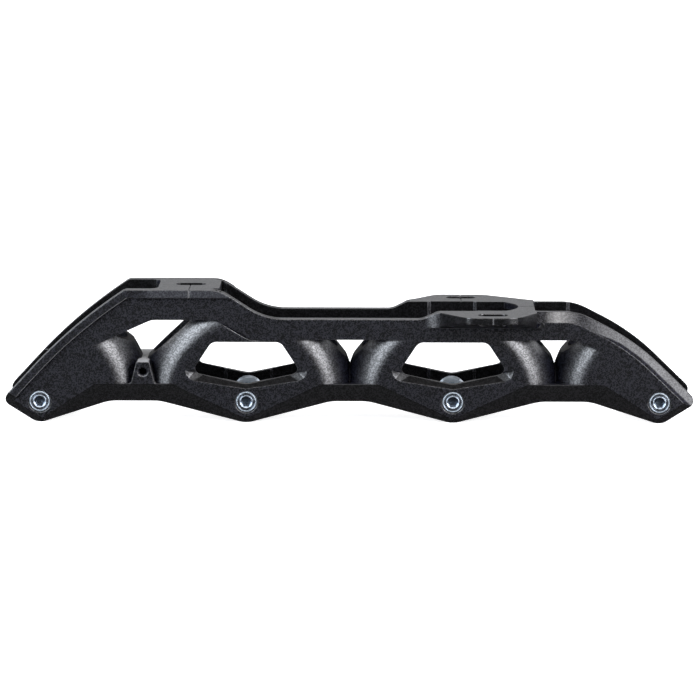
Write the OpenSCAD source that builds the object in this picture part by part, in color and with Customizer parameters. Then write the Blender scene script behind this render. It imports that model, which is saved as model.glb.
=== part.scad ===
// Inline skate frame: one aluminium casting that carries four wheel axles under a heel plate and two toe ears.
// X runs to the toe, Y to the far wall and Z up. Heights in the sections below are above the axle line.

/* [Wheels and axles] */
// Distance between neighbouring axles
wheel_pitch = 92; // [90:1:94]
// Diameter of the axle shank
axle_d = 8; // [7.8:0.1:8]
// Diameter of the axle head
head_d = 9.2; // [9:0.1:9.4]
// Width across flats of the socket in the axle head
socket_af = 4; // [3.5:0.5:4.5]
// Distance between the two steel flanges that the bearings seat on
bearing_gap = 24.3; // [24:0.1:24.6]
// Diameter of the steel flanges
flange_d = 13.4; // [13:0.1:14]
// Thickness of the steel flanges
flange_h = 1.45; // [1.2:0.05:1.8]

/* [Casting] */
// Wall thickness
wall = 4; // [3.6:0.1:4.2]
// Thickness of the cups at the crown
cup_shell = 1.8; // [1.5:0.1:2.2]
// Outer edge radius of the cups
cup_edge_r = 14.7; // [13:0.1:15]
// Height of the casting below the axle line
lobe_drop = 9.3; // [9:0.1:10]

/* [Heights above the axle line] */
// Top of the heel plate
heel_z = 50.3; // [49.5:0.1:51]
// Top of the toe ears
toe_z = 40.6; // [40:0.1:41.2]
// Top of the beams between heel and toe
beam_z = 37.2; // [36.5:0.1:37.6]
// Underside of the beams
under_z = 28; // [27.6:0.1:28.4]
// Top of the lower rails
rail_z = 8; // [7.8:0.1:8.2]

/* [Mounts] */
// Thickness of the heel plate
heel_plate = 3.5; // [3:0.1:4]
// Thickness of the toe ears at their outer edge
ear_plate = 3.1; // [2.8:0.1:3.5]
// Reach of each ear from the middle plane
ear_reach = 36; // [35:0.5:37]
// Distance of each toe slot from the middle plane
toe_slot_y = 27; // [26.5:0.5:27.5]
// Position of the near toe slot along the frame
near_slot_x = 63.3; // [62:0.1:64]
// How much further back the far toe slot is
slot_stagger = 13.2; // [12:0.1:14]
// Position of the heel slot along the frame
heel_slot_x = -71.2; // [-72:0.1:-70.5]
// Length of the mounting slots
slot_l = 13.5; // [12:0.5:14]
// Width of the mounting slots
slot_w = 6.6; // [6.2:0.1:7]
// Diameter of the tapped brake hole
brake_hole_d = 3.3; // [3:0.1:3.6]

/* [Hidden] */
$fn = 64;

// The width adds up from the bearings outwards.
pad_h = 0.9;
flange_y = bearing_gap / 2;
pad_y = flange_y + flange_h;
channel = pad_y + pad_h;
half_w = channel + wall;
frame_w = 2 * half_w;
half_pitch = wheel_pitch / 2;
axle_x = [for (i = [0:3]) (i - 1.5) * wheel_pitch];
rear_x = axle_x[0];
second_x = axle_x[1];
third_x = axle_x[2];
front_x = axle_x[3];
far_slot_x = near_slot_x - slot_stagger;

// The cups reach a little past the middle between two axles, where they join in a web.
cup_r = half_pitch + 2.2;
cup_inner_r = cup_r - cup_shell;
cup_inner_edge_r = cup_edge_r - 3.2;
lap = 1;
arc_sag = 0.02;

// Fits between the steel pieces and the casting
bush_d = head_d + 1.2;
head_h = 2.5;
head_seat_y = half_w - head_h;
head_gap = 0.35;
run_fit = 0.05;
thread_d = axle_d - 1;
shank_gap = 0.3;

rim_w = 3.6;
rim_proud = 1.4;
bevel_w = 4.7;
bevel_depth = 2.5;
facet_tilt = 0.29;
scribe_w = 0.5;
scribe_depth = 0.3;

function unit(v) = v / norm(v);
function cross2(a, b) = a[0] * b[1] - a[1] * b[0];
function flat(p) = [p[0], p[1]];

// Middle of the arc that rounds one corner; a corner is [across, up, radius].
function arc_middle(before, corner, after) =
    let (
        to_before = unit(flat(before) - flat(corner)),
        to_after = unit(flat(after) - flat(corner)),
        half = acos(to_before * to_after) / 2
    )
    flat(corner) + unit(to_before + to_after) * corner[2] / sin(half);

// The arc itself, as points
function corner_arc(before, corner, after) =
    corner[2] == 0 ? [flat(corner)] :
    let (
        to_before = unit(flat(before) - flat(corner)),
        to_after = unit(flat(after) - flat(corner)),
        half = acos(to_before * to_after) / 2,
        middle = arc_middle(before, corner, after),
        start = flat(corner) + to_before * corner[2] / tan(half) - middle,
        sweep = (cross2(to_before, to_after) < 0 ? 1 : -1) * (180 - 2 * half),
        steps = max(2, ceil(abs(sweep) / (2 * acos(1 - arc_sag / corner[2]))))
    )
    [for (i = [0:steps])
        let (angle = atan2(start[1], start[0]) + sweep * i / steps)
        middle + corner[2] * [cos(angle), sin(angle)]];

function rounded(path) =
    [for (i = [0:len(path) - 1])
        each corner_arc(path[(i + len(path) - 1) % len(path)], path[i], path[(i + 1) % len(path)])];

// A corner of a counter-clockwise outline, moved inwards from both its sides.
function inset(path, i, d) =
    let (
        count = len(path),
        into = unit(flat(path[i]) - flat(path[(i + count - 1) % count])),
        out = unit(flat(path[(i + 1) % count]) - flat(path[i])),
        normal_in = [-into[1], into[0]],
        normal_out = [-out[1], out[0]],
        moved = flat(path[i]) + (normal_in + normal_out) / (1 + normal_in * normal_out) * d
    )
    [moved[0], moved[1], max(0, path[i][2] - d)];

// Corners of the lobes under the axles, of the notches between them and of the two tips
lobe_z = -lobe_drop - 0.407;
end_lobe_z = lobe_z - 0.294;
end_lobe_x = 0.7;
tip_z = 0.3;
notch_z = 0;
tip_reach = 17.1;

// Side outline of a wall; the step up to the toe comes behind that wall's ear.
function outline(ear_x) = [
    [rear_x - tip_reach, tip_z, 3.2],
    [rear_x - end_lobe_x, end_lobe_z, 7.6],
    [rear_x + 31.2, notch_z, 20],
    [second_x - 39, notch_z, 20],
    [second_x, lobe_z, 13],
    [second_x + 38, notch_z, 20],
    [third_x - 38, notch_z, 20],
    [third_x, lobe_z, 13],
    [third_x + 39, notch_z, 20],
    [front_x - 31.2, notch_z, 20],
    [front_x + end_lobe_x, end_lobe_z, 7.6],
    [front_x + tip_reach, tip_z, 3.2],
    [front_x - 10.7, 27.3, 100],
    [front_x - 36.7, toe_z, 25],
    [ear_x - 24.1, toe_z, 5],
    [ear_x - 31.2, beam_z, 8],
    [second_x + 8.4, beam_z, 28],
    [second_x - 12, heel_z, 14],
    [rear_x + 38.1, heel_z, 4],
    [rear_x + 13.5, 33.3, 220],
];
FRONT_TIP = 11;
FRONT_BEND = 12;
FRONT_SHOULDER = 13;
TOE_STEP = 14;
HEEL_BACK = 18;
REAR_BEND = 19;

// Side opening between the beams and the lower rails, which the cups partly fill.
opening = [
    [rear_x + 31.9, rail_z, 0],
    [front_x - 31.9, rail_z, 0],
    [front_x - 24.7, 22.3, 0],
    [front_x - 37.7, under_z, 6],
    [second_x + 1.8, under_z, 12],
    [second_x - 13, under_z + 8.7, 14],
    [second_x - 42, under_z + 8.7, 8],
    [rear_x + 23.5, 24.8, 0],
];

window = [
    [0, 7.5, 10],
    [24.6, 12.8, 2.8],
    [15.3, 26.9, 4],
    [-15.3, 26.9, 4],
    [-24.6, 12.8, 2.8],
];

module upright(y_from, y_to) {
    translate([0, y_to, 0]) rotate([90, 0, 0]) linear_extrude(y_to - y_from) children();
}

// Both sides alike
module both_sides() {
    children();
    mirror([0, 1, 0]) children();
}

module cup_section(r, half, edge, inside) {
    translate([inside, -half]) square([r - edge - inside, 2 * half]);
    translate([inside, edge - half]) square([r - inside, 2 * (half - edge)]);
    for (side = [-1, 1]) translate([r - edge, side * (half - edge)]) circle(edge);
}

module turned_on_axle(x) {
    translate([x, 0, 0]) rotate([90, 0, 0]) rotate_extrude() children();
}

module wheel_space(x) {
    turned_on_axle(x) cup_section(cup_inner_r, channel, cup_inner_edge_r, 0);
}

// Where a sloped rim crosses the web plane and where it meets a beam; a rim is [crown height, slope].
function rim_x(rim, z) = sqrt(pow(cup_r - cup_shell / 2, 2) - pow(rim[0], 2)) - (z - rim[0]) / tan(rim[1]);
function rim_z(rim) = rim[0] - (half_pitch - rim_x(rim, rim[0])) * tan(rim[1]);

MID_RIM = [20.4, 47];
BRAKE_RIM = [18.8, 42.6];
FRONT_RIM = [21.4, 36];
REAR_RIM = [26, 26];
web_z = 3;
beam_lap_z = under_z + lap;

CUPS = [
    [
        [31, rail_z - lap], [36, web_z], [half_pitch, web_z], [half_pitch, rim_z(REAR_RIM)],
        [rim_x(REAR_RIM, 30.2), 30.2], [22.3, 26.2],
    ],
    [
        [-half_pitch, web_z], [-36, web_z], [-34, rail_z - lap], [34, rail_z - lap], [36, web_z],
        [half_pitch, web_z], [half_pitch, rim_z(MID_RIM)], [rim_x(MID_RIM, beam_lap_z), beam_lap_z],
        [1.6, beam_lap_z], [-13, under_z + 8.7 + lap],
        [-rim_x(BRAKE_RIM, under_z + 8.7 + lap), under_z + 8.7 + lap], [-half_pitch, rim_z(BRAKE_RIM)],
    ],
    [
        [-half_pitch, web_z], [-36, web_z], [-34, rail_z - lap], [34, rail_z - lap], [36, web_z],
        [half_pitch, web_z], [half_pitch, rim_z(MID_RIM)], [rim_x(MID_RIM, beam_lap_z), beam_lap_z],
        [-rim_x(MID_RIM, beam_lap_z), beam_lap_z], [-half_pitch, rim_z(MID_RIM)],
    ],
    [
        [-half_pitch, web_z], [-36, web_z], [-31, rail_z - lap], [-23.5, 22.8],
        [-rim_x(FRONT_RIM, 26.8), 27.6], [-half_pitch, rim_z(FRONT_RIM)],
    ],
];

// Tyre-shaped shell round one wheel, cut to the piece that the side opening needs
module cup(i) {
    intersection() {
        turned_on_axle(axle_x[i]) difference() {
            cup_section(cup_r, half_w, cup_edge_r, 5);
            cup_section(cup_inner_r, channel, cup_inner_edge_r, 0);
        }
        translate([axle_x[i], 0, 0]) upright(-frame_w, frame_w) polygon(CUPS[i]);
    }
}

// Window over each of the two middle axles
module windows() {
    for (x = [second_x, third_x]) translate([x, 0, 0]) upright(-frame_w, frame_w) polygon(rounded(window));
}

module wall_plate(ear_x) {
    upright(channel, half_w) difference() {
        polygon(rounded(outline(ear_x)));
        polygon(rounded(opening));
    }
}

// Raised rim along the heel and down the rear slope
module rear_rim() {
    path = outline(near_slot_x);
    bend = inset(path, REAR_BEND, rim_w);
    tip = inset(path, 0, rim_w);
    past_tip = flat(tip) + unit(flat(tip) - flat(bend)) * 12;
    upright(half_w - lap, half_w + rim_proud) difference() {
        polygon(rounded(path));
        polygon(rounded([
            [past_tip[0], past_tip[1], 0],
            [past_tip[0], -60, 0],
            [front_x + 40, -60, 0],
            [front_x + 40, heel_z - rim_w, 0],
            inset(path, HEEL_BACK, rim_w),
            bend,
        ]));
    }
}

module slot_outline() {
    travel = slot_l - slot_w;
    square([travel, slot_w], center = true);
    for (end = [-1, 1]) translate([end * travel / 2, 0]) circle(d = slot_w);
}

// Plate between the walls under the heel, with a rounded bay behind it
module heel_bridge() {
    back = second_x - 39.3;
    front = second_x - 12;
    bay_r = 4.5;
    relief = 3;
    translate([0, 0, heel_z - heel_plate]) linear_extrude(heel_plate) polygon(rounded([
        [back - 6, -channel - lap, 0],
        [front - relief, -channel - lap, 0],
        [front - relief, -channel, 0],
        [front, -channel + relief, 0],
        [front, channel - relief, 0],
        [front - relief, channel, 0],
        [front - relief, channel + lap, 0],
        [back - 6, channel + lap, 0],
        [back - 6, channel, 0],
        [back, channel, bay_r],
        [back, -channel, bay_r],
        [back - 6, -channel, 0],
    ]));
}

// Bridge between the walls at the toe: round towards the heel, square towards the toe
module toe_bridge() {
    round_r = 18.9;
    round_end = third_x + 29.4;
    front = front_x - 55.5;
    bay_r = 3;
    translate([0, 0, toe_z - ear_plate]) linear_extrude(ear_plate) difference() {
        polygon(rounded([
            [round_end - 10, -channel - lap, 0],
            [front + 5, -channel - lap, 0],
            [front + 5, -channel, 0],
            [front, -channel, bay_r],
            [front, channel, bay_r],
            [front + 5, channel, 0],
            [front + 5, channel + lap, 0],
            [round_end - 10, channel + lap, 0],
        ]));
        translate([round_end - round_r, 0]) circle(round_r);
    }
}

// Ear beside one toe slot, thicker towards the wall
module ear(ear_x, front_reach, front_r) {
    root_z = toe_z - 7.2;
    intersection() {
        translate([ear_x, 0, 0]) linear_extrude(toe_z) polygon(rounded([
            [-34, channel + lap, 0],
            [front_reach + 10, channel + lap, 0],
            [front_reach + 10, half_w, 0],
            [front_reach, half_w, front_r],
            [10.5, ear_reach, 9],
            [-11.3, ear_reach, 6],
            [-24.1, half_w, 12],
            [-34, half_w, 0],
        ]));
        upright(channel, ear_reach + lap) polygon(rounded(outline(ear_x)));
        translate([ear_x - 40, 0, 0]) rotate([90, 0, 90]) linear_extrude(90) polygon([
            [channel, root_z],
            [half_w, root_z],
            [ear_reach - 3, toe_z - ear_plate],
            [ear_reach + lap, toe_z - ear_plate],
            [ear_reach + lap, toe_z + lap],
            [channel, toe_z + lap],
        ]);
    }
}

// Block for a heel brake, standing across the rear web
module brake_block() {
    x = -wheel_pitch;
    top_z = 17.8;
    difference() {
        translate([x, 0, 0]) upright(-half_w, half_w) polygon(rounded([
            [-8, rail_z - lap, 0],
            [8, rail_z - lap, 0],
            [8, rail_z, 0],
            [5.3, rail_z, 1.5],
            [2.95, top_z, 0.6],
            [-2.95, top_z, 0.6],
            [-5.3, rail_z, 1.5],
            [-8, rail_z, 0],
        ]));
        wheel_space(rear_x);
        wheel_space(second_x);
    }
}

// Upright bar on the inside of a wall, with sloped ends
module pad_bar(x_from, x_to, z_from, z_to) {
    run = 0.75;
    translate([0, 0, z_from]) linear_extrude(z_to - z_from) polygon([
        [x_from - run, channel + lap / 2],
        [x_from - run, channel],
        [x_from + run, pad_y],
        [x_to - run, pad_y],
        [x_to + run, channel],
        [x_to + run, channel + lap / 2],
    ]);
}

// Raised pads inside a wall: beside each axle, and along the beam up to the toe slots and on from them
module pads(ear_x) {
    pad = 10.3;
    front_pad = 39.6;
    bottom_z = -lobe_drop - lap;
    intersection() {
        upright(pad_y - lap, channel + lap) polygon(rounded(outline(ear_x)));
        union() {
            for (x = [second_x, third_x]) pad_bar(x - pad, x + pad, bottom_z, 12);
            pad_bar(second_x - pad, third_x - pad, under_z, heel_z);
            pad_bar(third_x + pad, front_x - front_pad, under_z, heel_z);
            upright(pad_y, channel + lap / 2) for (x = [rear_x, front_x]) {
                translate([x - pad, bottom_z]) square([2 * pad, rail_z - bottom_z]);
                translate([x, rail_z]) circle(pad);
            }
        }
    }
}

// Everything under a line on the far wall's outer face, sloping inwards below the line
module under_line(p, angle, tilt) {
    reach = 60;
    translate([p[0], 0, p[1]]) rotate([0, 90 - angle, 0]) linear_extrude(500, center = true) polygon([
        [-2, half_w + 2 * tilt],
        [-2, half_w + 15],
        [reach, half_w + 15],
        [reach, half_w - reach * tilt],
    ]);
}

// Facet under the rail between two axles; a slope runs down to the lobe on either side.
module rail_facet(from_x, from_slope, to_x, to_slope) {
    intersection() {
        under_line([(from_x + to_x) / 2, rail_z], 0, facet_tilt);
        under_line([from_x, rail_z], from_slope, facet_tilt);
        under_line([to_x, rail_z], -to_slope, facet_tilt);
    }
}

module rail_facets() {
    lobe_run = 33;
    end_run = 24.6;
    rail_facet(rear_x + end_run, 33, second_x - lobe_run, 25.4);
    rail_facet(second_x + lobe_run, 25.4, third_x - lobe_run, 25.4);
    rail_facet(third_x + lobe_run, 25.4, front_x - end_run, 33);
}

// Bevel along the lower edge of the front and rear tips
module tip_bevels() {
    slope = atan2(tip_z - end_lobe_z, tip_reach - end_lobe_x);
    start = [end_lobe_x - 2.3, 1.4 - lobe_drop];
    under_line([front_x + start[0], start[1]], slope, facet_tilt);
    under_line([rear_x - start[0], start[1]], -slope, facet_tilt);
}

// Bevel along a window's sill and round its lower corners, where it is flatter
module sill_bevel(x) {
    sill = 8.9;
    tilt = 0.86;
    corner = [22.5, 14];
    reach = 4.3;
    translate([x, 0, 0]) intersection() {
        intersection_for (side = [-1, 1]) under_line([0, 5.8], 180 + side * sill, tilt);
        intersection_for (side = [-1, 1]) intersection_for (turn = [30, 52, 76])
            under_line([side * corner[0], corner[1]] + reach * [side * sin(turn), -cos(turn)],
                       180 + side * turn, 0.62);
        under_line([0, 14.2], 0, 2 * tilt);
    }
}

// Part of the front bevel along one direction, from the ear on
module front_bevel_at(start, angle) {
    intersection() {
        under_line(start, angle, bevel_depth / bevel_w);
        translate([front_x - 55, 0, -lobe_drop]) cube([100, frame_w, 100]);
    }
}

// Wide bevel from the ear down the front slope, following the outline's bends
module front_bevel() {
    path = outline(near_slot_x);
    bends = [path[FRONT_TIP], path[FRONT_BEND], path[FRONT_SHOULDER], path[TOE_STEP]];
    runs = [for (i = [0:2]) flat(bends[i + 1]) - flat(bends[i])];
    angles = [for (run = runs) atan2(run[1], run[0])];
    for (i = [0:2]) front_bevel_at(flat(bends[i]) + bevel_w * [-sin(angles[i]), cos(angles[i])], angles[i]);
    for (i = [1, 2]) for (share = [0.25, 0.5, 0.75]) {
        angle = angles[i - 1] + share * (angles[i] - angles[i - 1]);
        middle = arc_middle(bends[i - 1], bends[i], bends[i + 1]);
        front_bevel_at(middle + (bevel_w - bends[i][2]) * [-sin(angle), cos(angle)], angle);
    }
}

// Groove where the beam comes down to the second cup
module beam_groove() {
    drop = 0.55;
    upright(half_w - 0.35, half_w + lap) intersection() {
        difference() {
            polygon(rounded(opening));
            translate([0, -drop]) polygon(rounded(opening));
        }
        translate([second_x - 13, under_z - drop]) square([18, 12]);
    }
}

// Thin marks that show the middle of each slot's travel
module scribes() {
    translate([heel_slot_x - scribe_w / 2, -half_w - rim_proud - lap, heel_z - scribe_depth])
        cube([scribe_w, half_w + rim_proud + lap - slot_w / 2, lap]);
    for (side = [-1, 1])
        translate([heel_slot_x - scribe_w / 2, side * (half_w + rim_proud) - scribe_depth, heel_z - rim_w])
            cube([scribe_w, 2 * scribe_depth, rim_w]);
    for (slot = [[near_slot_x, -1], [far_slot_x, 1]])
        translate([slot[0] - scribe_w / 2, slot[1] * ear_reach - scribe_depth, toe_z - ear_plate])
            cube([scribe_w, 2 * scribe_depth, ear_plate]);
    translate([far_slot_x - scribe_w / 2, channel - lap, toe_z - scribe_depth])
        cube([scribe_w, ear_reach - channel + 2 * lap, lap]);
    translate([third_x + 28, -scribe_w / 2, toe_z - scribe_depth]) cube([12, scribe_w, lap]);
}

module across(x, z, d, y_from, y_to) {
    translate([x, y_to, z]) rotate([90, 0, 0]) cylinder(d = d, h = y_to - y_from);
}

module axle_bores() {
    for (x = axle_x) {
        across(x, 0, bush_d, -head_seat_y, -channel + lap);
        across(x, 0, head_d + 2 * head_gap, -half_w - lap, -head_seat_y);
        across(x, 0, bush_d, channel - lap, half_w + lap);
    }
}

module mounting_holes() {
    translate([heel_slot_x, 0, heel_z - heel_plate - lap]) linear_extrude(heel_plate + 2 * lap) slot_outline();
    for (slot = [[near_slot_x, -toe_slot_y], [far_slot_x, toe_slot_y]])
        translate([slot[0], slot[1], beam_z - 8]) linear_extrude(toe_z - beam_z + 9) slot_outline();
    brake_z = 13.5;
    brake_depth = 11;
    chamfer = 0.7;
    both_sides() {
        across(-wheel_pitch, brake_z, brake_hole_d, half_w - brake_depth, half_w + lap);
        translate([-wheel_pitch, half_w - chamfer, brake_z]) rotate([-90, 0, 0])
            cylinder(d1 = brake_hole_d, d2 = brake_hole_d + 4 * chamfer, h = 2 * chamfer);
    }
}

module frame_casting() {
    color([0.12, 0.12, 0.13]) translate([0, 0, lobe_drop]) difference() {
        union() {
            wall_plate(far_slot_x);
            mirror([0, 1, 0]) wall_plate(near_slot_x);
            pads(far_slot_x);
            mirror([0, 1, 0]) pads(near_slot_x);
            for (i = [0:3]) cup(i);
            both_sides() rear_rim();
            heel_bridge();
            toe_bridge();
            ear(far_slot_x, 33.7, 14);
            mirror([0, 1, 0]) ear(near_slot_x, 20.5, 5);
            brake_block();
        }
        windows();
        both_sides() rail_facets();
        both_sides() tip_bevels();
        both_sides() sill_bevel(second_x);
        both_sides() sill_bevel(third_x);
        both_sides() front_bevel();
        both_sides() beam_groove();
        axle_bores();
        mounting_holes();
        scribes();
    }
}

// Axle with its head in the near wall and its threaded end in the far wall
module axle_bolt(i) {
    tip = 0.8;
    rim = 0.5;
    thread_l = half_w - flange_y - 0.3;
    socket_d = socket_af / cos(30);
    color([0.75, 0.77, 0.8]) translate([axle_x[i], -half_w, lobe_drop]) rotate([-90, 0, 0]) difference() {
        union() {
            cylinder(d1 = head_d - 2 * rim, d2 = head_d, h = rim);
            translate([0, 0, rim]) cylinder(d = head_d, h = head_h - rim);
            cylinder(d = axle_d, h = half_w + flange_y - shank_gap);
            cylinder(d = thread_d, h = half_w + flange_y + thread_l - tip);
            translate([0, 0, half_w + flange_y + thread_l - tip])
                cylinder(d1 = thread_d, d2 = thread_d - 2 * tip, h = tip);
        }
        translate([0, 0, -lap]) cylinder(d = socket_d, h = 3.2 + lap, $fn = 6);
        translate([0, 0, -rim])
            cylinder(d1 = socket_d + 4 * rim, d2 = socket_d - rim, h = 2.5 * rim);
    }
}

module flanged_sleeve(length, bore_d) {
    edge = 0.8;
    difference() {
        union() {
            cylinder(d1 = flange_d - 2 * edge, d2 = flange_d, h = edge);
            translate([0, 0, edge]) cylinder(d = flange_d, h = flange_h - edge);
            cylinder(d = bush_d, h = length);
        }
        translate([0, 0, -lap]) cylinder(d = bore_d, h = length + 2 * lap);
    }
}

// Plain steel bush in the near wall; the axle head seats on its end.
module axle_bush(i) {
    color([0.7, 0.72, 0.75]) translate([axle_x[i], -flange_y, lobe_drop]) rotate([90, 0, 0])
        flanged_sleeve(head_seat_y - flange_y, axle_d + 2 * run_fit);
}

// Threaded steel insert in the far wall
module axle_nut(i) {
    color([0.7, 0.72, 0.75]) translate([axle_x[i], flange_y, lobe_drop]) rotate([-90, 0, 0])
        flanged_sleeve(half_w - flange_y, thread_d + 2 * run_fit);
}

frame_casting();
for (i = [0:3]) {
    axle_bolt(i);
    axle_bush(i);
    axle_nut(i);
}
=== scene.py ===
"""Looks of the inline skate frame: finish of the casting and its steel pieces, camera, floor and light."""
import math

import bmesh
import bpy
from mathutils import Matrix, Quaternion, Vector


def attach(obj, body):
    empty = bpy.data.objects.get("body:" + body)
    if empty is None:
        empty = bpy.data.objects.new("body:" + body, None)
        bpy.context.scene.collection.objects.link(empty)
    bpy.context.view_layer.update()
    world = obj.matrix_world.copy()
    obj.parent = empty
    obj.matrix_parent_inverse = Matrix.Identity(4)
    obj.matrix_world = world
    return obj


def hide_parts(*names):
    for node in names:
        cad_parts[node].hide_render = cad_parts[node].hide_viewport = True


# Places on the object, in metres
WHEEL_PITCH = 0.092
AXLE_X = (-0.138, -0.046, 0.046, 0.138)
AXLE_Z = 0.0093
HALF_WIDTH = 0.0185
CHANNEL = 0.0145
BAND_END_X = -0.03
HEEL_END_X = (-0.094, -0.088)
HEEL_MARK_X = -0.0712
EAR_REACH = 0.036
EAR_TIP = 0.0007
EAR_FRONT_X = 0.083
EAR_MARK_X = (0.0633, 0.0501)
MARK_REACH = 0.0003
BRAKE_TOP_Z = 0.0271
SILL_REACH = 0.026
SILL_TOP_Z = 0.0236
GROOVE_X = (-0.0592, -0.0408)
GROOVE_Z = 0.0366
GROOVE_DEPTH = 0.0004
GROOVE_MIDDLE = (-0.0515, 0.0, 0.0395)
GROOVE_CLEARANCE = (0.0075, 0.0095)
BEVEL_START_X = 0.08
BEVEL_FROM_THIRD_AXLE = 0.0485
NEAR = 0.0005

# Stretches of the front bevel along X, in metres
BY_EAR_X = (0.0865, 0.092)
BEND_X = (0.092, 0.1027)
SLOPE_X = (0.1045, 0.1135)
LOWER_SIDE_X = (0.106, 0.12)

# How far faces of the band and the ears stand out from the walls
BAND_PROUD = 0.0008
FLANK_PROUD = 0.001
SIDE_PROUD = 0.003
FILLET_PROUD = 0.00005

# Parts of a face's direction that tell the faces of the casting apart
EXACT = 0.99999
SAME_WAY = 0.9995
LEVEL = 0.995
FACING = 0.9
UPRIGHT = 0.5
FLANK_ENDWAYS = 0.3
FLANK_OUTWARD = 0.8
FILLET_FORWARD = 0.05
FILLET_TILT = 0.1
GROOVE_OUTWARD = 0.2
RAIL_OUTWARD = (0.93, 0.985)
RAIL_UP = -0.1
SILL_OUTWARD = (0.74, 0.77)
SILL_UP = 0.6
SILL_CORNER_OUTWARD = (0.84, 0.86)
SILL_CORNER_UP = 0.4
BEVEL_OUTWARD = (0.87, 0.895)
BEVEL_UP = 0.1
BEVEL_FORWARD = -0.05
RIM_SLOPES = (26.0, 36.0, 42.6, 47.0)

# Mesh of the casting
SMOOTH_ANGLE = 14.5
SAME_PLACE = 1e-6
NO_LENGTH = 1e-7

# Turned axle in millimetres, and its thread in metres
SEGMENTS = 48
SHARP_ANGLE = 28.0
SOCKET_FLATS = 4.0
SOCKET_DEPTH = 3.2
SOCKET_RIM_RADIUS = 2.5
DISH_DEPTH = 0.12
DISH_RADII = (2.95, 4.0)
HEAD_RADIUS = 4.6
HEAD_HEIGHT = 2.5
SHANK_RADIUS = 4.0
SHANK_END = 30.35
THREAD_ROOT = 3.1
THREAD_START = 30.4
THREAD_END = 36.1
END_RADIUS = 2.5
AXLE_LENGTH = 36.7
AXLE_CENTRE = 0.01
THREAD_STEPS = 24
THREAD_FLANKS = 4
THREAD_SIZES = {
    "Root radius": 0.00308,
    "Ridge height": 0.00042,
    "Pitch": 0.001,
    "Length": 0.0046,
    "Start": 0.0125,
}

# Finishes of an axle, by their place in its list of materials
ZINC, RING, SOCKET, FACE = range(4)

# Powder coat
COAT_DARK = (0.0, 0.0, 0.0)
COAT_LIGHT = (0.0098, 0.0104, 0.0185)
# Light grey on the coat's edges: painted highlight
COAT_EDGE_HIGHLIGHT = (0.03, 0.03, 0.0318)
COAT_ROUGHNESS = (0.28, 0.34)
COAT_FLECK_SHINE = 0.58
HEEL_DARK = (0.02, 0.021, 0.026)
HEEL_LIGHT = (0.036, 0.038, 0.046)
# Edge colours of the raised band: painted highlight, light grey on its lower edge down the slope
BAND_EDGE_HIGHLIGHT = (0.03, 0.03, 0.032)
BAND_LOWER_EDGE_HIGHLIGHT = (0.2, 0.2, 0.2)
# Ground of the front bevel's upper part, lighter than the walls': part of its painted highlight
BEVEL_DARK = (0.004, 0.004, 0.005)
BEVEL_LIGHT = (0.03, 0.03, 0.034)
# Light end of the ears' speckle, darker than the walls': painted shade on the ears' sides
EAR_LIGHT = (0.006, 0.006, 0.008)
COAT_IOR = 1.85
GLOSSY_IOR = 2.0
EDGE_RADIUS = 0.0007
EDGE_SAMPLES = 6
# Bluer tint of the painted edge highlight
EDGE_BLUE = 1.06
CREASE_REACH = 0.003
CREASE_SAMPLES = 6
PATCH_SCALE = 260.0
FLECK_SCALE = 2000.0
COAT_GRAIN = 0.2
GRAIN_SCALE = 1700.0
GRAIN_HEIGHT = 0.0002
CUP_LEAN = 1.7

# Zinc plate
PATINA_SCALE = 900.0
PATINA_TINT = 0.88
TURNING_SCALE = 2600.0
TURNING_STRENGTH = 0.06
TURNING_HEIGHT = 0.00005
PLATE_EDGE_RADIUS = 0.0002

# Camera, floor and light
SIDE_POWER = 11.5
CORE_POWER = 4.5
REAR_POWER = 8.0
TOP_POWER = 4.0
CAMERA_PLACE = Vector((0.0135, -1.7105, 0.3048))
CAMERA_AIM = Vector((0.0002, -0.0185, 0.0328))
CAMERA_LENS = 198.4
CAMERA_ROLL = math.radians(0.1)
FLOOR_REACH = 12.0
LIGHT_AIM = (0.0, 0.0, 0.03)


class Nodes:
    """Adds nodes to one node tree."""

    def __init__(self, tree):
        self.tree = tree

    def feed(self, socket, value):
        """Links another node's output to a socket, or sets the socket to a plain value."""
        if isinstance(value, bpy.types.NodeSocket):
            self.tree.links.new(value, socket)
        else:
            socket.default_value = value

    def node(self, kind, inputs=None, **settings):
        made = self.tree.nodes.new(kind)
        for name, value in settings.items():
            setattr(made, name, value)
        for name, value in (inputs or {}).items():
            self.feed(made.inputs[name], value)
        return made

    def maths(self, operation, *values):
        return self.node("ShaderNodeMath", dict(enumerate(values)), operation=operation).outputs["Value"]

    def vector_maths(self, operation, *values):
        return self.node("ShaderNodeVectorMath", dict(enumerate(values)), operation=operation).outputs

    def part(self, vector, axis):
        return self.node("ShaderNodeSeparateXYZ", {"Vector": vector}).outputs[axis]

    def spread(self, source, low, high, start=0.3, end=0.7):
        """Runs from low to high while the source runs from start to end, and is held outside that."""
        inputs = {"Value": source, "From Min": start, "From Max": end, "To Min": low, "To Max": high}
        return self.node("ShaderNodeMapRange", inputs).outputs["Result"]

    def mix(self, factor, low, high):
        return self.node("ShaderNodeMix", {"Factor": factor, "A": low, "B": high}).outputs["Result"]


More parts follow.
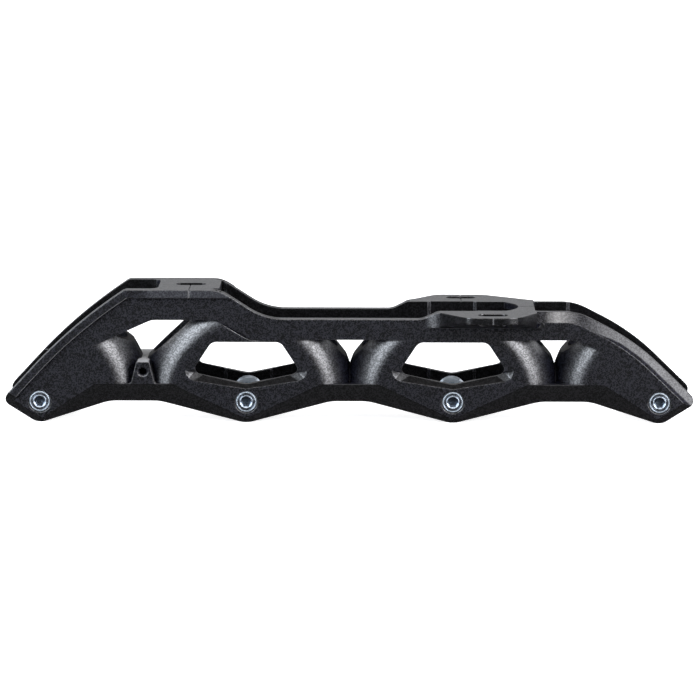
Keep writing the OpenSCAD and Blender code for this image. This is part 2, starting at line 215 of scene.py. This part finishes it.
class Finish(Nodes):
    """Builds one material's node tree around a Principled shader."""

    def __init__(self, name):
        self.material = bpy.data.materials.new(name)
        self.material.use_nodes = True
        super().__init__(self.material.node_tree)
        self.shader = self.tree.nodes["Principled BSDF"]
        self.place = self.node("ShaderNodeTexCoord").outputs["Object"]

    def shade(self, name, value):
        self.feed(self.shader.inputs[name], value)

    def noise(self, scale, detail=2.0):
        inputs = {"Vector": self.place, "Scale": scale, "Detail": detail}
        return self.node("ShaderNodeTexNoise", inputs).outputs["Fac"]

    def normal(self):
        return self.node("ShaderNodeNewGeometry").outputs["Normal"]

    def blend_colours(self, factor, low, high):
        made = self.node("ShaderNodeMix", data_type="RGBA")
        sockets = {s.identifier: s for s in made.inputs}
        self.feed(sockets["Factor_Float"], factor)
        for colour, socket in ((low, sockets["A_Color"]), (high, sockets["B_Color"])):
            self.feed(socket, colour if isinstance(colour, bpy.types.NodeSocket) else (*colour, 1.0))
        return next(s for s in made.outputs if s.identifier == "Result_Color")

    def flecks(self, low, high):
        """Small cells, each with a value of its own between low and high."""
        cells = self.node("ShaderNodeTexVoronoi", {"Vector": self.place, "Scale": FLECK_SCALE})
        return self.spread(cells.outputs["Color"], low, high, 0.38, 0.66)

    def speckle(self, dark, light):
        """Small light flecks on a dark ground."""
        return self.blend_colours(self.flecks(0.0, 1.0), dark, light)

    def soft_edges(self, radius):
        return self.node("ShaderNodeBevel", {"Radius": radius}, samples=EDGE_SAMPLES).outputs["Normal"]

    def near_edges(self, rounded):
        """Rises from 0 on open faces to 1 where the rounded normal leaves the true one."""
        agreement = self.vector_maths("DOT_PRODUCT", rounded, self.normal())["Value"]
        return self.spread(agreement, 1.0, 0.0, 0.86, 0.985)

    def open_space(self, reach):
        """Falls towards 0 in narrow creases, where little light gets in."""
        space = self.node("ShaderNodeAmbientOcclusion", {"Distance": reach}, samples=CREASE_SAMPLES)
        return self.spread(space.outputs["AO"], 0.08, 1.0, 0.4, 0.92)

    def bump(self, height, strength, distance, under):
        inputs = {"Height": height, "Strength": strength, "Distance": distance, "Normal": under}
        return self.node("ShaderNodeBump", inputs).outputs["Normal"]

    def from_axle(self):
        """Direction across the turning marks, straight out from the nearest axle."""
        across = self.maths("WRAP", self.part(self.place, "X"), WHEEL_PITCH, 0.0)
        beside = self.maths("SUBTRACT", across, WHEEL_PITCH / 2)
        above = self.maths("SUBTRACT", self.part(self.place, "Z"), AXLE_Z)
        return self.node("ShaderNodeCombineXYZ", {"X": beside, "Z": above}).outputs["Vector"]

    def clear_of(self, middle, near, far):
        """Rises from 0 within a near distance of a line across the frame to 1 beyond a far one."""
        level = self.vector_maths("MULTIPLY", self.place, (1.0, 0.0, 1.0))["Vector"]
        return self.spread(self.vector_maths("DISTANCE", level, middle)["Value"], 0.0, 1.0, near, far)

    def sideways(self):
        """How far a face leans to the heel or toe, 0 on the walls and 1 across the frame."""
        return self.maths("ABSOLUTE", self.part(self.normal(), "X"))

    def lean(self, normal, factor):
        """Normal turned further to the heel or toe wherever it already leans that way."""
        wider = self.vector_maths("MULTIPLY", normal, (factor, 1.0, 1.0))["Vector"]
        return self.vector_maths("NORMALIZE", wider)["Vector"]


class Coat(Finish):
    """Powder coat with a fine relief; its colour, roughness and shine are given afterwards."""

    def __init__(self, name, ior=COAT_IOR, grain=COAT_GRAIN):
        super().__init__(name)
        self.rounded = self.soft_edges(EDGE_RADIUS)
        self.edges = self.near_edges(self.rounded)
        self.relief = self.bump(self.noise(GRAIN_SCALE), grain, GRAIN_HEIGHT, self.rounded)
        self.shade("IOR", ior)
        self.shade("Normal", self.relief)

    def colour(self, ground, edge_highlight, edge_highlight_mask):
        """Ground colour that gives way to a lighter one along the edges: a painted edge highlight."""
        self.shade("Base Color", self.blend_colours(edge_highlight_mask, ground, edge_highlight))

    def uneven_roughness(self, low, high):
        self.shade("Roughness", self.spread(self.noise(PATCH_SCALE, 3.0), low, high))

    def creased_flecks(self, low, high):
        """Flecks of shine that fade in the creases."""
        return self.maths("MULTIPLY", self.flecks(low, high), self.open_space(CREASE_REACH))

    def shine(self, value):
        self.shade("Specular IOR Level", value)


def cast_finish(name, dark, light, roughness, reflect, edge=0.03, grain=COAT_GRAIN):
    """Plain coat: light speckle on a darker ground, and edges painted lighter as a highlight."""
    coat = Coat(name, grain=grain)
    # The edge colour, from edge, is a painted highlight along the coat's edges.
    coat.colour(coat.speckle(dark, light), (edge, edge, EDGE_BLUE * edge), coat.edges)
    coat.uneven_roughness(*roughness)
    coat.shine(coat.creased_flecks(COAT_FLECK_SHINE * reflect, reflect))
    return coat


def wall_finish():
    """Coat of the walls and cups. The cups are duller and catch the light close to the walls; their shine
    fades towards the valleys between them as painted shade, and the edges carry a painted highlight.
    """
    coat = Coat("black_cast", GLOSSY_IOR)
    # Painted edge highlight, kept off around the groove under the beam, which stays dark.
    edge_highlight_mask = coat.maths("MULTIPLY", coat.edges, coat.clear_of(GROOVE_MIDDLE, *GROOVE_CLEARANCE))
    coat.colour(coat.speckle(COAT_DARK, COAT_LIGHT), COAT_EDGE_HIGHLIGHT, edge_highlight_mask)
    coat.shade("Normal", coat.lean(coat.relief, CUP_LEAN))
    sideways = coat.sideways()
    coat.shade("Roughness", coat.spread(sideways, 0.285, 0.42, 0.02, 0.3))
    # Painted shade: the shine fades on faces turned to the heel or toe, so the valleys between the cups go
    # dark.
    valley_shade = coat.spread(sideways, 1.0, 0.12, 0.4, 0.8)
    coat.shine(coat.maths("MULTIPLY", coat.creased_flecks(0.48, 1.0), valley_shade))
    return coat


def heel_band_finish():
    """Coat of the raised band: smoother along the heel than down the slope. Its edges carry a painted
    highlight, light grey on the lower edge down the slope.
    """
    coat = Coat("heel_band")
    smooth = coat.speckle(HEEL_DARK, HEEL_LIGHT)
    along_heel = coat.spread(coat.part(coat.place, "X"), 0.0, 1.0, *HEEL_END_X)
    ground = coat.blend_colours(along_heel, coat.speckle(COAT_DARK, COAT_LIGHT), smooth)
    # Painted highlight: edges leaning forward, the lower edge down the slope, take the light grey.
    leans_forward = coat.spread(coat.part(coat.rounded, "X"), 0.0, 1.0, 0.02, 0.25)
    coat.colour(ground, coat.blend_colours(leans_forward, BAND_EDGE_HIGHLIGHT, BAND_LOWER_EDGE_HIGHLIGHT), coat.edges)
    coat.uneven_roughness(*COAT_ROUGHNESS)
    coat.shine(coat.creased_flecks(COAT_FLECK_SHINE, 1.0))
    return coat


def front_bevel_finish():
    """Coat of the front bevel. Its shine, set by place along X, is a painted highlight: weak by the ear,
    full before the bend and faint down the slope. The slope's lower side is dark.
    """
    coat = Coat("front_bevel", GLOSSY_IOR)
    along = coat.part(coat.place, "X")
    by_ear = coat.spread(along, 0.05, 1.0, *BY_EAR_X)
    before_bend = coat.spread(along, 1.0, 0.09, *BEND_X)
    on_slope = coat.spread(along, 0.0, 0.22, *SLOPE_X)
    upper_limit = coat.spread(along, HALF_WIDTH + 0.0001, HALF_WIDTH - 0.0008, *LOWER_SIDE_X)
    away = coat.maths("ABSOLUTE", coat.part(coat.place, "Y"))
    upper = coat.spread(coat.maths("SUBTRACT", away, upper_limit), 1.0, 0.0, -0.0001, 0.0002)
    # Painted highlight: the shine follows place along the bevel, not the light.
    shine = coat.maths("MULTIPLY", by_ear, coat.maths("ADD", before_bend, on_slope))
    shine = coat.maths("MULTIPLY", shine, coat.flecks(0.75, 1.0))
    coat.shine(coat.maths("MULTIPLY", shine, coat.spread(upper, 0.08, 1.0, 0.0, 1.0)))
    # The upper part's lighter speckle adds to the painted highlight; the lower side takes the walls' coat.
    lower_ground = coat.speckle(COAT_DARK, COAT_LIGHT)
    ground = coat.blend_colours(upper, lower_ground, coat.speckle(BEVEL_DARK, BEVEL_LIGHT))
    coat.colour(ground, COAT_EDGE_HIGHLIGHT, coat.maths("MULTIPLY", coat.edges, upper))
    coat.uneven_roughness(0.3, 0.38)
    return coat


def zinc_finish(name, tint, roughness, metallic=1.0):
    """Zinc plate with a faint blue cast and fine turning marks."""
    plate = Finish(name)
    patina = plate.noise(PATINA_SCALE, 3.0)
    dull_tint = [PATINA_TINT * c for c in tint]
    plate.shade("Base Color", plate.blend_colours(plate.spread(patina, 0.0, 1.0), dull_tint, tint))
    plate.shade("Roughness", plate.spread(patina, *roughness))
    plate.shade("Metallic", metallic)
    plate.shade("Anisotropic", 0.8)
    plate.shade("Tangent", plate.from_axle())
    rounded = plate.soft_edges(PLATE_EDGE_RADIUS)
    marks = plate.bump(plate.noise(TURNING_SCALE), TURNING_STRENGTH, TURNING_HEIGHT, rounded)
    plate.shade("Normal", marks)
    return plate


def add_object(name, data):
    """New object in the scene for a mesh, a camera or a lamp."""
    made = bpy.data.objects.new(name, data)
    bpy.context.scene.collection.objects.link(made)
    return made


def lies_flat(face):
    """Whether a face looks exactly sideways or up or down, as the walls and plates do."""
    return max(abs(face.normal.y), abs(face.normal.z)) > EXACT


def merged_copy(node_name, piece_name):
    """Copy of a CAD node with its triangles joined, shaded smooth on curved faces and flat on flat ones."""
    mesh = bpy.data.meshes.new(piece_name)
    form = bmesh.new()
    form.from_mesh(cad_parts[node_name].data)
    bmesh.ops.remove_doubles(form, verts=form.verts, dist=SAME_PLACE)
    bmesh.ops.dissolve_degenerate(form, edges=form.edges, dist=NO_LENGTH)
    form.normal_update()
    for face in form.faces:
        face.smooth = True
    for edge in form.edges:
        sides = edge.link_faces
        edge.smooth = (len(sides) == 2 and edge.calc_face_angle(0.0) < math.radians(SMOOTH_ANGLE)
                       and lies_flat(sides[0]) == lies_flat(sides[1]))
    form.to_mesh(mesh)
    form.free()
    return add_object(piece_name, mesh)


def rim_directions():
    """Directions that the sloped rims of the cups face."""
    for slope in RIM_SLOPES:
        tilt = math.radians(slope)
        for side in (-1.0, 1.0):
            yield Vector((side * math.sin(tilt), 0.0, math.cos(tilt)))


def between(value, limits):
    return limits[0] < value < limits[1]


def is_mark(place):
    """Whether a face is in a scribed line, on the heel's band or at the tip of an ear."""
    away = abs(place.y)
    if abs(place.x - HEEL_MARK_X) < MARK_REACH:
        return away > HALF_WIDTH + BAND_PROUD
    beside_line = min(abs(place.x - x) for x in EAR_MARK_X)
    return beside_line < MARK_REACH and away > EAR_REACH - EAR_TIP


def is_ear_flank(normal, place, outward):
    """Whether a face is on an ear's slanted ends or on the fillet in front of it."""
    proud = abs(place.y) - HALF_WIDTH
    is_slanted = abs(normal.x) > FLANK_ENDWAYS and outward < FLANK_OUTWARD
    if proud > FLANK_PROUD and abs(normal.z) < UPRIGHT and is_slanted:
        return True
    is_fillet = normal.x > FILLET_FORWARD and abs(normal.z) < FILLET_TILT
    return proud > FILLET_PROUD and place.x > EAR_FRONT_X and is_fillet


def is_inside(normal, place, outward, rims):
    """Whether a face is on a wall's inner side, in the groove under the beam or on a cup's rim."""
    away = abs(place.y)
    if away < CHANNEL + NEAR:
        return outward < -FACING or any(normal.dot(rim) > SAME_WAY for rim in rims)
    in_groove = HALF_WIDTH - GROOVE_DEPTH < away < HALF_WIDTH and abs(normal.y) < GROOVE_OUTWARD
    return in_groove and between(place.x, GROOVE_X) and place.z > GROOVE_Z


def is_front_bevel(normal, place, outward):
    """Whether a face is on the wide bevel between the toe ears and the front end."""
    from_third_axle = math.hypot(place.x - AXLE_X[2], place.z - AXLE_Z)
    looks_up = normal.z > BEVEL_UP and normal.x > BEVEL_FORWARD
    is_ahead = place.x > BEVEL_START_X and from_third_axle > BEVEL_FROM_THIRD_AXLE
    return between(outward, BEVEL_OUTWARD) and looks_up and is_ahead


def casting_zone(normal, place, rims):
    """Name of the finish on a face of the casting, from where the face is and which way it looks."""
    outward = normal.y if place.y > 0.0 else -normal.y
    proud = abs(place.y) - HALF_WIDTH
    by_sill = min(abs(place.x - x) for x in AXLE_X) < SILL_REACH
    if is_mark(place):
        return "bare_mark"
    if normal.z > LEVEL and abs(place.z - BRAKE_TOP_Z) < NEAR:
        return "brake_top_painted_light"
    if normal.z > LEVEL and place.z > BRAKE_TOP_Z:
        return "machined_top"
    if proud > BAND_PROUD and place.x < BAND_END_X and outward > FACING:
        return "heel_band"
    if is_ear_flank(normal, place, outward):
        return "ear_flank"
    if proud > SIDE_PROUD and abs(normal.z) < UPRIGHT:
        return "ear_side"
    if is_inside(normal, place, outward, rims):
        return "inner_wall_painted_shade"
    if between(outward, RAIL_OUTWARD) and normal.z < RAIL_UP:
        return "rail_facet"
    if between(outward, SILL_OUTWARD) and normal.z > SILL_UP and by_sill:
        return "sill"
    is_sill_corner = between(outward, SILL_CORNER_OUTWARD) and normal.z > SILL_CORNER_UP
    if is_sill_corner and by_sill and place.z < SILL_TOP_Z:
        return "rail_facet"
    if is_front_bevel(normal, place, outward):
        return "front_bevel"
    return "black_cast"


def casting_skin():
    """The casting, with a finish for each kind of face."""
    skin = merged_copy("frame_casting", "casting_skin")
    finishes = (
        wall_finish(),
        heel_band_finish(),
        # Painted shade: the ears' sides and flanks get a darker ground than the walls, and the flanks
        # little shine.
        cast_finish("ear_side", COAT_DARK, EAR_LIGHT, (0.2, 0.26), 1.0, edge=0.006, grain=0.1),
        cast_finish("ear_flank", COAT_DARK, EAR_LIGHT, (0.34, 0.4), 0.2, edge=0.006, grain=0.1),
        cast_finish("machined_top", (0.106, 0.106, 0.108), (0.142, 0.142, 0.145), (0.42, 0.48), 0.2,
                    edge=0.16, grain=0.05),
        # Painted shade: the walls' inner sides, the groove under the beam and the cups' rims get a
        # near-black ground and little shine.
        cast_finish("inner_wall_painted_shade", (0.001, 0.001, 0.001), (0.005, 0.005, 0.006), (0.4, 0.46), 0.1,
                    edge=0.01),
        cast_finish("rail_facet", (0.004, 0.004, 0.004), (0.009, 0.0085, 0.0095), (0.34, 0.4), 0.3),
        # Painted shade: the window sills get a darker ground than the walls and little shine, so that they
        # read unlit.
        cast_finish("sill", (0.002, 0.002, 0.002), (0.006, 0.0055, 0.006), (0.34, 0.4), 0.15),
        # Painted light: the brake block's machined top is far lighter than the other tops, so that it reads
        # lit down between the cups.
        cast_finish("brake_top_painted_light", (0.42, 0.42, 0.425), (0.48, 0.48, 0.485), (0.42, 0.48), 0.2,
                    edge=0.3, grain=0.05),
        cast_finish("bare_mark", (0.12, 0.12, 0.126), (0.18, 0.18, 0.186), (0.4, 0.5), 0.4, edge=0.18),
        front_bevel_finish(),
    )
    skin.data.materials.clear()
    for finish in finishes:
        skin.data.materials.append(finish.material)
    slots = [finish.material.name for finish in finishes]
    rims = list(rim_directions())
    for face in skin.data.polygons:
        face.material_index = slots.index(casting_zone(face.normal, face.center, rims))
    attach(skin, "frame")
    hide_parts("frame_casting")


def round_at(radius):
    return lambda angle: radius


def socket_at(flats):
    """Six-sided outline with a corner along X."""
    return lambda angle: flats / 2 / math.cos(angle % math.radians(60) - math.radians(30))


def axle_rows():
    """Turned outline of an axle from its socket's floor to its end.

    A row has its depth below the head's face, its radius, and the finish of the strip before it.
    """
    six_sides = socket_at(SOCKET_FLATS)
    return (
        (SOCKET_DEPTH, round_at(AXLE_CENTRE), ZINC),
        (SOCKET_DEPTH, six_sides, SOCKET),
        (0.45, six_sides, SOCKET),
        (0.15, round_at(SOCKET_RIM_RADIUS), SOCKET),
        (0.0, round_at(2.81), RING),
        (DISH_DEPTH, round_at(DISH_RADII[0]), FACE),
        (DISH_DEPTH, round_at(DISH_RADII[1]), FACE),
        (0.0, round_at(4.1), RING),
        (0.0, round_at(4.15), RING),
        (0.5, round_at(HEAD_RADIUS), RING),
        (HEAD_HEIGHT, round_at(HEAD_RADIUS), ZINC),
        (HEAD_HEIGHT, round_at(SHANK_RADIUS), ZINC),
        (SHANK_END, round_at(SHANK_RADIUS), ZINC),
        (THREAD_START, round_at(THREAD_ROOT), ZINC),
        (THREAD_END, round_at(THREAD_ROOT), ZINC),
        (AXLE_LENGTH, round_at(END_RADIUS), ZINC),
        (AXLE_LENGTH, round_at(AXLE_CENTRE), ZINC),
    )


def turned_axle(number, finishes):
    """Axle with a ringed head, a six-sided socket and a plain end under its thread."""
    rows = axle_rows()
    form = bmesh.new()
    rings = []
    for depth, radius, _ in rows:
        ring = []
        for k in range(SEGMENTS):
            angle = math.tau * k / SEGMENTS
            reach = radius(angle) / 1000
            x = AXLE_X[number - 1] + reach * math.cos(angle)
            z = AXLE_Z + reach * math.sin(angle)
            ring.append(form.verts.new((x, depth / 1000 - HALF_WIDTH, z)))
        rings.append(ring)
    for i in range(1, len(rings)):
        for k in range(SEGMENTS):
            after = (k + 1) % SEGMENTS
            face = form.faces.new((rings[i - 1][k], rings[i - 1][after], rings[i][after], rings[i][k]))
            face.material_index = rows[i][2]
    form.faces.new(rings[0])
    form.faces.new(rings[-1])
    bmesh.ops.recalc_face_normals(form, faces=form.faces)
    mesh = bpy.data.meshes.new(f"turned_axle_{number}")
    form.to_mesh(mesh)
    form.free()
    for finish in finishes:
        mesh.materials.append(finish.material)
    mesh.shade_smooth()
    mesh.set_sharp_from_angle(angle=math.radians(SHARP_ANGLE))
    axle = add_object(mesh.name, mesh)
    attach(axle, f"axle_{number}")
    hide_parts(f"axle_bolt_{number}")


def thread_tree(finish):
    """Geometry Nodes tree of a thread: a ridge wound in a helix along Y, with its sizes as inputs."""
    tree = bpy.data.node_groups.new("axle_thread", "GeometryNodeTree")
    for name in (*THREAD_SIZES, "Along X"):
        tree.interface.new_socket(name, in_out="INPUT", socket_type="NodeSocketFloat")
    tree.interface.new_socket("Thread", in_out="OUTPUT", socket_type="NodeSocketGeometry")
    winding = Nodes(tree)
    sizes = winding.node("NodeGroupInput").outputs
    helix = winding.node("GeometryNodeCurveSpiral", {
        "Resolution": THREAD_STEPS,
        "Rotations": winding.maths("DIVIDE", sizes["Length"], sizes["Pitch"]),
        "Start Radius": sizes["Root radius"],
        "End Radius": sizes["Root radius"],
        "Height": sizes["Length"],
    })
    flanks = winding.node("GeometryNodeCurvePrimitiveCircle", {
        "Resolution": THREAD_FLANKS,
        "Radius": sizes["Ridge height"],
    })
    ridge = winding.node("GeometryNodeCurveToMesh", {
        "Curve": helix.outputs["Curve"],
        "Profile Curve": flanks.outputs["Curve"],
        "Fill Caps": True,
    })
    start = winding.node("ShaderNodeCombineXYZ", {"X": sizes["Along X"], "Y": sizes["Start"], "Z": AXLE_Z})
    laid = winding.node("GeometryNodeTransform", {
        "Geometry": ridge.outputs["Mesh"],
        "Translation": start.outputs["Vector"],
        "Rotation": (-math.pi / 2, 0.0, 0.0),
    })
    realized = winding.node("GeometryNodeRealizeInstances", {"Geometry": laid.outputs["Geometry"]})
    plated = winding.node("GeometryNodeSetMaterial", {
        "Geometry": realized.outputs["Geometry"],
        "Material": finish.material,
    })
    winding.node("NodeGroupOutput", {"Thread": plated.outputs["Geometry"]})
    return tree


def axle_thread(number, tree):
    """Thread on the end of one axle, wound by the tree and kept as a plain mesh."""
    thread = add_object(f"axle_thread_{number}", bpy.data.meshes.new("empty_thread"))
    winding = thread.modifiers.new("winding", "NODES")
    winding.node_group = tree
    sizes = {**THREAD_SIZES, "Along X": AXLE_X[number - 1]}
    for socket in tree.interface.items_tree:
        if socket.in_out == "INPUT":
            winding[socket.identifier] = sizes[socket.name]
    wound = thread.evaluated_get(bpy.context.evaluated_depsgraph_get())
    mesh = bpy.data.meshes.new_from_object(wound)
    thread.modifiers.clear()
    thread.data = mesh
    mesh.name = thread.name
    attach(thread, f"axle_{number}")


def finish_steel():
    """The turned axles with their threads, and a zinc finish on the bushes and inserts that is lighter than
    the axles' as painted light.
    """
    axle_finishes = (
        zinc_finish("axle_zinc", (0.62, 0.7, 0.78), (0.24, 0.28)),
        zinc_finish("axle_ring", (0.6, 0.68, 0.76), (0.25, 0.35), 0.5),
        # Painted shade: the socket's strips take a darker tint than the rest of the axle.
        zinc_finish("socket_painted_shade", (0.3, 0.36, 0.44), (0.25, 0.35)),
        zinc_finish("head_face", (0.42, 0.48, 0.56), (0.24, 0.36)),
    )
    tree = thread_tree(axle_finishes[ZINC])
    for number in range(1, len(AXLE_X) + 1):
        turned_axle(number, axle_finishes)
        axle_thread(number, tree)
    # Lighter zinc, half diffuse, so that the nut flanges in the channel's shade read lit: partly the
    # plate's colour, partly painted light.
    sleeve_zinc_painted_light = zinc_finish("sleeve_zinc_painted_light", (0.8, 0.88, 0.96), (0.3, 0.4), 0.45)
    for name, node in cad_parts.items():
        if name.startswith(("axle_bush", "axle_nut")):
            node.data.materials.clear()
            node.data.materials.append(sleeve_zinc_painted_light.material)


def add_camera():
    lens = bpy.data.cameras.new("photo_camera")
    lens.lens = CAMERA_LENS
    lens.sensor_width = 36.0
    lens.sensor_fit = "HORIZONTAL"
    lens.clip_start = 0.05
    lens.clip_end = 50.0
    camera = add_object("photo_camera", lens)
    camera.location = CAMERA_PLACE
    aim = (CAMERA_AIM - CAMERA_PLACE).to_track_quat("-Z", "Y")
    camera.rotation_euler = (aim @ Quaternion((0.0, 0.0, 1.0), CAMERA_ROLL)).to_euler()
    bpy.context.scene.camera = camera


def add_floor():
    """White paper that looks dark where the object mirrors it."""
    mesh = bpy.data.meshes.new("floor")
    corners = [(x * FLOOR_REACH, y * FLOOR_REACH, 0.0) for x, y in ((-1, -1), (1, -1), (1, 1), (-1, 1))]
    mesh.from_pydata(corners, [], [(0, 1, 2, 3)])
    paper = Finish("white_paper")
    path = paper.node("ShaderNodeLightPath").outputs
    colour = paper.blend_colours(path["Is Glossy Ray"], (0.92, 0.92, 0.92), (0.03, 0.03, 0.03))
    paper.shade("Base Color", colour)
    paper.shade("Roughness", 0.9)
    paper.shade("Specular IOR Level", 0.0)
    paper.shade("Emission Color", (1.0, 1.0, 1.0, 1.0))
    paper.shade("Emission Strength", paper.spread(path["Is Camera Ray"], 0.0, 0.75, 0.0, 1.0))
    mesh.materials.append(paper.material)
    floor = add_object("floor", mesh)


def add_softbox(name, place, size, power, colour):
    lamp = bpy.data.lights.new(name, "AREA")
    lamp.shape = "RECTANGLE"
    lamp.size = size[0]
    lamp.size_y = size[1]
    lamp.energy = power
    lamp.color = colour
    softbox = add_object(name, lamp)
    softbox.location = place
    softbox.rotation_euler = (Vector(LIGHT_AIM) - Vector(place)).to_track_quat("-Z", "Y").to_euler()


def add_world():
    """White seen behind the object, and a dim room in its reflections that is lighter behind and above."""
    world = bpy.data.worlds.new("studio")
    world.use_nodes = True
    studio = Nodes(world.node_tree)
    path = studio.node("ShaderNodeLightPath").outputs
    direction = studio.node("ShaderNodeTexCoord").outputs["Generated"]
    behind = studio.spread(studio.part(direction, "Y"), 0.04, 0.35, -0.3, 0.35)
    above = studio.spread(studio.part(direction, "Z"), 0.1, 1.0, 0.02, 0.14)
    strength = studio.mix(path["Is Glossy Ray"], 0.4, studio.maths("MULTIPLY", behind, above))
    strength = studio.mix(path["Is Transmission Ray"], strength, 1.0)
    strength = studio.mix(path["Is Camera Ray"], strength, 1.0)
    background = world.node_tree.nodes["Background"].inputs
    studio.feed(background["Strength"], strength)
    studio.feed(background["Color"], (1.0, 1.0, 1.0, 1.0))
    bpy.context.scene.world = world


def add_softboxes():
    """Softboxes with brighter cores at the front left and right, and weaker ones behind and above."""
    sides = (("left", -1.0, 0.96, (0.86, 0.92, 1.0)), ("right", 1.0, 1.12, (0.96, 0.96, 1.0)))
    for side, x, share, colour in sides:
        add_softbox(f"{side}_softbox", (0.97 * x, -0.7, 0.45), (1.05, 1.2), SIDE_POWER * share, colour)
        core_place = (0.96 * x, -0.69, 0.445)
        add_softbox(f"{side}_softbox_core", core_place, (0.5, 1.1), CORE_POWER * share, colour)
    for side, x, _, _ in sides:
        rear_place = (0.97 * x, 0.7, 0.45)
        add_softbox(f"rear_{side}_softbox", rear_place, (1.0, 1.2), REAR_POWER, (0.95, 0.97, 1.0))
    add_softbox("top_softbox", (0.0, -0.92, 1.02), (0.8, 0.45), TOP_POWER, (1.0, 0.98, 0.98))


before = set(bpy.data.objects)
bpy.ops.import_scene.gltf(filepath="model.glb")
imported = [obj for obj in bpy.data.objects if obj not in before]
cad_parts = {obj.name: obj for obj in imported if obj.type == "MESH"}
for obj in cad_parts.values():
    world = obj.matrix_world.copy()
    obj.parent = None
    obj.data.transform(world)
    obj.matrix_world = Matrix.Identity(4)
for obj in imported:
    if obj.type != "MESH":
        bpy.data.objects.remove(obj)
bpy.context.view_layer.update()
add_camera()
casting_skin()
finish_steel()
add_floor()
add_world()
add_softboxes()
bpy.context.scene.view_settings.view_transform = "Standard"
